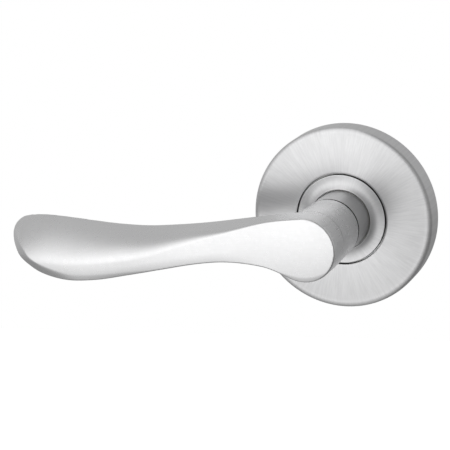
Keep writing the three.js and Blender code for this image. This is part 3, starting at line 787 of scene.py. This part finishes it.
def spindle_distance(x, depth, z):
    tip = -SPINDLE_REACH
    half = SPINDLE_SIZE / 2
    square = bar(x, depth, z, half, half, tip, SPINDLE_SEAT_DEPTH, edge=0.35)
    cone_slope = 0.83
    cone = (np.hypot(x, z) - half - cone_slope * (depth - tip)) / math.hypot(1, cone_slope)
    return rounded_edge(square, cone, 0.3)


def circlip_distance(x, depth, z):
    band = within(np.hypot(x, z), CLIP_GROOVE_RADIUS + 0.25, CLIP_OUTER_RADIUS)
    sheet = abs(depth - CLIP_DEPTH) - CLIP_THICKNESS / 2
    half_mouth = 2
    mouth = np.maximum(abs(x) - half_mouth, z)
    return rounded_edge(rounded_edge(band, sheet, 0.12), -mouth, 0.3)


def clip_distance(x, depth, z):
    """The spring clip that stands straight up from the spindle axis, with its bend rounded."""
    outer = ROSE_RADIUS - ROSE_WALL - 0.55
    back, front = PLATE_THICKNESS + FIT_GAP, ROSE_RIM_DEPTH - 1.4
    sheet, foot, half_width = 0.8, 2.1, 3.5
    outside = rounded_edge(z - outer, back - depth, 0.6)
    inside = np.maximum(back + sheet - depth, z - outer + sheet)
    ends = rounded_edge(outer - foot - z, depth - front, 0.15)
    return rounded_edge(np.maximum(np.maximum(outside, -inside), ends), abs(x) - half_width, 0.3)


def thread(radius, along, angle, outer, pitch):
    """Distance from a V thread that winds round an axis."""
    ridge = 0.55 * pitch
    phase = (along / pitch - angle / (2 * math.pi)) % 1
    return (radius - outer + ridge * abs(2 * phase - 1)) * SLANT_SCALE


def hexagon(u, v, radius):
    """Distance from a hexagon with the given radius to its corners."""
    return np.maximum(abs(v), abs(u) * math.sqrt(0.75) + abs(v) / 2) - radius * math.sqrt(0.75)


def grub_distance(x, depth, z):
    across = depth - GRUB_DEPTH
    radius = np.hypot(x, across)
    inner, outer = SPINDLE_SIZE / 2 + FIT_GAP, NECK_RADIUS - 0.2
    shank = thread(radius, z, np.arctan2(x, across), GRUB_RADIUS, pitch=0.8)
    point = radius - GRUB_RADIUS - 0.3 + 0.8 * np.maximum(inner + 1 + z, 0)
    ends = rounded_edge(within(-z, inner, outer), point, 0.1)
    key_radius, key_depth = 1.4, 2.5
    key_hole = np.maximum(hexagon(x, across, key_radius), within(-z, outer - key_depth, outer + 1))
    return rounded_edge(rounded_edge(shank, ends, 0.1), -key_hole, 0.1)


def pan_screw(shank_radius, pitch, head_radius, head_height, head_back, end):
    """The distance function of a pan head screw with a cross recess."""
    front = head_back + head_height

    def distance(x, depth, z):
        radius = np.hypot(x, z)
        shank = thread(radius, depth, np.arctan2(z, x), shank_radius, pitch)
        point = radius - 0.7 * shank_radius - 0.8 * (depth - end)
        shank = rounded_edge(shank, np.maximum(end - depth, point * SLANT_SCALE), 0.08)
        shank = np.maximum(shank, depth - head_back - 0.3)
        top = depth - front + radius**2 / (8 * head_radius)
        head = rounded_edge(radius - head_radius, top, 0.4 * head_height)
        head = rounded_edge(head, head_back - depth, 0.1)
        half_slot, slot_reach = 0.45, 0.57 * head_radius
        near_axis, far_axis = np.minimum(abs(x), abs(z)), np.maximum(abs(x), abs(z))
        cross = np.maximum(near_axis - half_slot, far_axis - slot_reach)
        slot_floor = front - 0.6 * head_height + 0.5 * radius / head_radius
        recess = np.maximum(cross, slot_floor - depth)
        return rounded_edge(np.minimum(shank, head), -recess, 0.08)

    return distance


def spring_path(t):
    """The middle of a flat-wire coil, with a leg that stands out radially at each end."""
    leg_share = 0.035
    bend_share = 1.3 * leg_share
    coil = np.clip((t - leg_share) / (1 - 2 * leg_share), 0, 1)
    out = smoothstep(bend_share - np.minimum(t, 1 - t), 0, bend_share)
    radius = SPRING_COIL_RADIUS + (SPRING_LEG_REACH - SPRING_COIL_RADIUS) * out**0.8
    sweep = 360 * SPRING_TURNS + 2 * SPRING_LEG_DEGREES
    angle = np.radians(90 + SPRING_LEG_DEGREES - sweep * coil)
    depth = SPRING_BACK_DEPTH + SPRING_RISE * coil
    return np.stack([radius * np.cos(angle), depth, radius * np.sin(angle)], -1)


def swept(path, section):
    """Points and faces of a section, given as (across, depth) points, carried along a path."""
    run = np.gradient(path, axis=0)
    across = np.stack([run[:, 2], np.zeros(len(run)), -run[:, 0]], -1)
    across /= np.linalg.norm(across, axis=1)[:, None]
    forward = np.array([0, 1, 0])
    rings = path[:, None] + across[:, None] * section[:, :1] + forward * section[:, 1:]
    count = len(section)
    start = np.arange(len(path) - 1)[:, None] * count
    k = np.arange(count)[None, :]
    following = (k + 1) % count
    faces = np.stack([start + k, start + following, start + following + count, start + k + count], -1)
    return rings.reshape(-1, 3), faces.reshape(-1, 4)


def add_cast(name, distance, low, high, cell, material, stands_for, place=(0, 0), turn=0.0):
    """A piece from its distance function, made inside the box from low to high on a grid of the
    given cell, then turned about the depth axis and moved to (x, z)."""
    points, quads, normals = surface_of(distance, low, high, cell * (1))
    c, s = math.cos(math.radians(turn)), math.sin(math.radians(turn))
    spin = np.array([[c, 0, -s], [0, 1, 0], [s, 0, c]])
    points = points @ spin.T + [place[0], 0, place[1]]
    add_piece(name, points, quads, material, stands_for, normals @ spin.T)


zinc_plate = mottled("zinc_plate", rgb(0.62, 0.64, 0.66), rgb(0.74, 0.74, 0.71), 0.30, 0.42,
                     grain=250, relief=0.03)
black_oxide = mottled("black_oxide", rgb(0.15, 0.155, 0.165), rgb(0.24, 0.24, 0.245), 0.38, 0.52,
                      grain=500, relief=0.03)
drawn_spring = mottled("drawn_spring_steel", rgb(0.36, 0.37, 0.39), rgb(0.46, 0.465, 0.475), 0.30, 0.42,
                       grain=400, relief=0.02)
die_cast = mottled("die_cast_zinc", rgb(0.54, 0.55, 0.56), rgb(0.64, 0.645, 0.65), 0.46, 0.62,
                   grain=350, relief=0.08)
moulded = mottled("moulded_nylon", rgb(0.82, 0.80, 0.74), rgb(0.88, 0.87, 0.82), 0.42, 0.55,
                  grain=300, relief=0.05, metallic=0.0)

add_cast("square_spindle", spindle_distance, (-5, -51, -5), (5, 42, 5), 0.25, zinc_plate, "spindle")
add_cast("hub", hub_distance, (-13, 2, -20), (13, 8, 20), 0.25, die_cast, "drive_hub")
add_cast("retaining_clip", circlip_distance, (-11, 1, -11), (11, 3, 11), 0.2, drawn_spring, "circlip")
add_cast("set_screw", grub_distance, (-3.2, GRUB_DEPTH - 3.2, -11), (3.2, GRUB_DEPTH + 3.2, -3.5), 0.12,
         black_oxide, "grub_screw")
add_cast("cast_plate", plate_distance, (-30.5, -7, -30.5), (30.5, 3.5, 30.5), 0.35,
         die_cast, "mounting_plate")
add_cast("spring_cup", cassette_distance, (-28.5, 2, -28.5), (28.5, 9.5, 28.5), 0.3,
         zinc_plate, "cassette_housing")

washer_outer, washer_back, washer_front = HUB_RADIUS - 0.2, HUB_FRONT + 0.25, BUSH_BACK_DEPTH - FIT_GAP
washer_bore = SPIGOT_RADIUS + FIT_GAP
add_piece("washer", *turned(rounded_corners([
    (washer_bore, washer_back, 0.08), (washer_outer, washer_back, 0.08),
    (washer_outer, washer_front, 0.08), (washer_bore, washer_front, 0.08),
])), drawn_spring, "thrust_washer")

bush_bore, bush_front = SPIGOT_RADIUS + FIT_GAP / 2, SLEEVE_BACK_DEPTH - 0.45
add_piece("flanged_bush", *turned(rounded_corners([
    (bush_bore, BUSH_BACK_DEPTH, 0.1), (BUSH_FLANGE_RADIUS, BUSH_BACK_DEPTH, 0.2),
    (BUSH_FLANGE_RADIUS, BUSH_FLANGE_DEPTH, 0.2), (BUSH_BODY_RADIUS, BUSH_FLANGE_DEPTH, 0.15),
    (BUSH_BODY_RADIUS, bush_front, 0.15), (bush_bore, bush_front, 0.1),
])), moulded, "bearing_bush")

# The ring without its two points on the axis is the profile between the caps.
pin_profile = rounded_corners([
    (0, STOP_PIN_BACK, 0), (STOP_PIN_RADIUS, STOP_PIN_BACK, 0.3),
    (STOP_PIN_RADIUS, STOP_PIN_FRONT, 0.3), (0, STOP_PIN_FRONT, 0),
])[1:-1]
for node, angle in zip(("stop_pin_rest", "stop_pin_limit"), STOP_ANGLES):
    dowel = turned_solid(pin_profile, 48, on_circle(STOP_CIRCLE, angle))
    add_piece(node + "_dowel", *dowel, black_oxide, node)

spring_section = rounded_corners([
    (sx * SPRING_WIRE_WIDTH / 2, sd * SPRING_WIRE_HEIGHT / 2, 0.18)
    for sx, sd in ((-1, -1), (1, -1), (1, 1), (-1, 1))], steps=3)
spring_points, spring_faces = swept(spring_path(np.linspace(0, 1, 700)), spring_section)
first_end = list(range(len(spring_section)))[::-1]
last_end = list(range(len(spring_points) - len(spring_section), len(spring_points)))
spring_faces = spring_faces.tolist() + [first_end, last_end]
add_piece("coiled_spring", spring_points, spring_faces, drawn_spring, "return_spring",
          blends=(("rose", SPRING_HELD_DEPTH), ("lever", SPRING_TURNED_DEPTH)))

cassette_screw = pan_screw(CASSETTE_SCREW_RADIUS, pitch=0.45, head_radius=2.3, head_height=1.5,
                           head_back=CASSETTE_FLANGE_DEPTH + FIT_GAP, end=FIT_GAP)
for i, angle in enumerate((45, 135, 225, 315)):
    node = f"cassette_screw_{i + 1}"
    add_cast(node + "_threaded", cassette_screw, (-2.8, -0.2, -2.8), (2.8, 6, 2.8), 0.1, zinc_plate, node,
             on_circle(CASSETTE_SCREW_CIRCLE, angle), turn=17.0 * i)

fixing_screw = pan_screw(FIXING_SCREW_RADIUS, pitch=0.7, head_radius=FIXING_HEAD_RADIUS, head_height=2.4,
                         head_back=PLATE_THICKNESS + FIT_GAP, end=-FIXING_SCREW_REACH)
for node, side, turn in (("fixing_screw_left", -1, 20.0), ("fixing_screw_right", 1, 55.0)):
    add_cast(node + "_threaded", fixing_screw, (-4.4, -12.6, -4.4), (4.4, 5.8, 4.4), 0.13, zinc_plate, node,
             (side * FIXING_PLACE, 0), turn)

for i, angle in enumerate((90, 210, 330)):
    node = f"rose_clip_{i + 1}"
    add_cast(node + "_bent", clip_distance, (-4.2, 2.2, 28), (4.2, 7, 31.4), 0.16, drawn_spring, node,
             turn=angle - 90)

# ---------------------------------------------------------------- light, floor and camera


def studio_world():
    """Even grey surroundings, darker low down, with one broad, soft bright area in front and to the
    left, which is brightest at the object's height and fades slowly upwards, and a darker area in
    front on the right. Directions are angles round from the front, with the right side positive."""
    world = bpy.data.worlds.new("studio")
    bpy.context.scene.world = world
    world.use_nodes = True
    n = Nodes(world.node_tree)

    def from_front(start, end):
        """Zero at the first direction and before it, and one from the second on."""
        return n.remap(azimuth, math.radians(start), math.radians(end), 0, 1)

    x, y, z = n.split(n.add("ShaderNodeTexCoord").outputs["Generated"])
    azimuth = n.math("ARCTAN2", x, n.math("MULTIPLY", y, -1.0))
    across = n.product(from_front(22, -10), from_front(-64, -26))
    upwards = n.product(n.remap(z, -1.2, 0.25, 0, 1), n.remap(z, -0.2, 1.1, 1, 0.2, "LINEAR"))
    surroundings = n.remap(z, -0.6, 0.2, 0.3, 0.52)
    level = n.math("ADD", surroundings, n.product(across, upwards, 1.12))
    in_shade = n.product(from_front(6, 26), from_front(120, 60), 0.45)
    level = n.product(level, n.math("SUBTRACT", 1.0, in_shade))
    camera_sees = n.add("ShaderNodeLightPath").outputs["Is Camera Ray"]
    background = world.node_tree.nodes["Background"]
    background.inputs["Color"].default_value = rgb(1, 1, 1)
    n.set(background.inputs["Strength"], n.math("MAXIMUM", level, camera_sees))


def floor():
    """A pale floor well below the object, which is white to the camera like the wall behind it."""
    half, level = 3.0, -1.0
    mesh = bpy.data.meshes.new("pale_floor")
    corners = [(-half, -half, level), (half, -half, level), (half, half, level), (-half, half, level)]
    mesh.from_pydata(corners, [], [(0, 1, 2, 3)])
    piece = bpy.data.objects.new("pale_floor", mesh)
    bpy.context.scene.collection.objects.link(piece)
    n = Finish("pale_floor")
    camera_sees = n.add("ShaderNodeLightPath").outputs["Is Camera Ray"]
    mesh.materials.append(n.made_of({
        "Base Color": rgb(0.8, 0.8, 0.8),
        "Roughness": 0.8,
        "Emission Color": rgb(1, 1, 1),
        "Emission Strength": camera_sees,
    }))
    piece.visible_glossy = False
    piece.visible_diffuse = False


def photo_camera():
    """The camera at the photograph's viewing angle."""
    camera = bpy.data.objects.new("camera", bpy.data.cameras.new("camera"))
    bpy.context.scene.collection.objects.link(camera)
    bpy.context.scene.camera = camera
    azimuth, elevation, roll = (math.radians(a) for a in (20.91, 13.28, -4.5))
    distance, pixels_per_mm, image_pixels = 700, 2.81, 450
    offset_right, offset_up = -44.15, -4.44
    back = Vector((math.sin(azimuth) * math.cos(elevation), -math.cos(azimuth) * math.cos(elevation),
                   math.sin(elevation)))
    level_right = Vector((math.cos(azimuth), math.sin(azimuth), 0))
    level_up = back.cross(level_right)
    right = math.cos(roll) * level_right + math.sin(roll) * level_up
    up = math.cos(roll) * level_up - math.sin(roll) * level_right
    place = (offset_right * right + offset_up * up + distance * back) * MM
    camera.matrix_world = Matrix.Translation(place) @ Matrix((right, up, back)).transposed().to_4x4()
    camera.data.lens = camera.data.sensor_width * pixels_per_mm * distance / image_pixels
    camera.data.clip_start, camera.data.clip_end = 0.01, 20


studio_world()
floor()
photo_camera()
bpy.context.scene.view_settings.view_transform = "Standard"
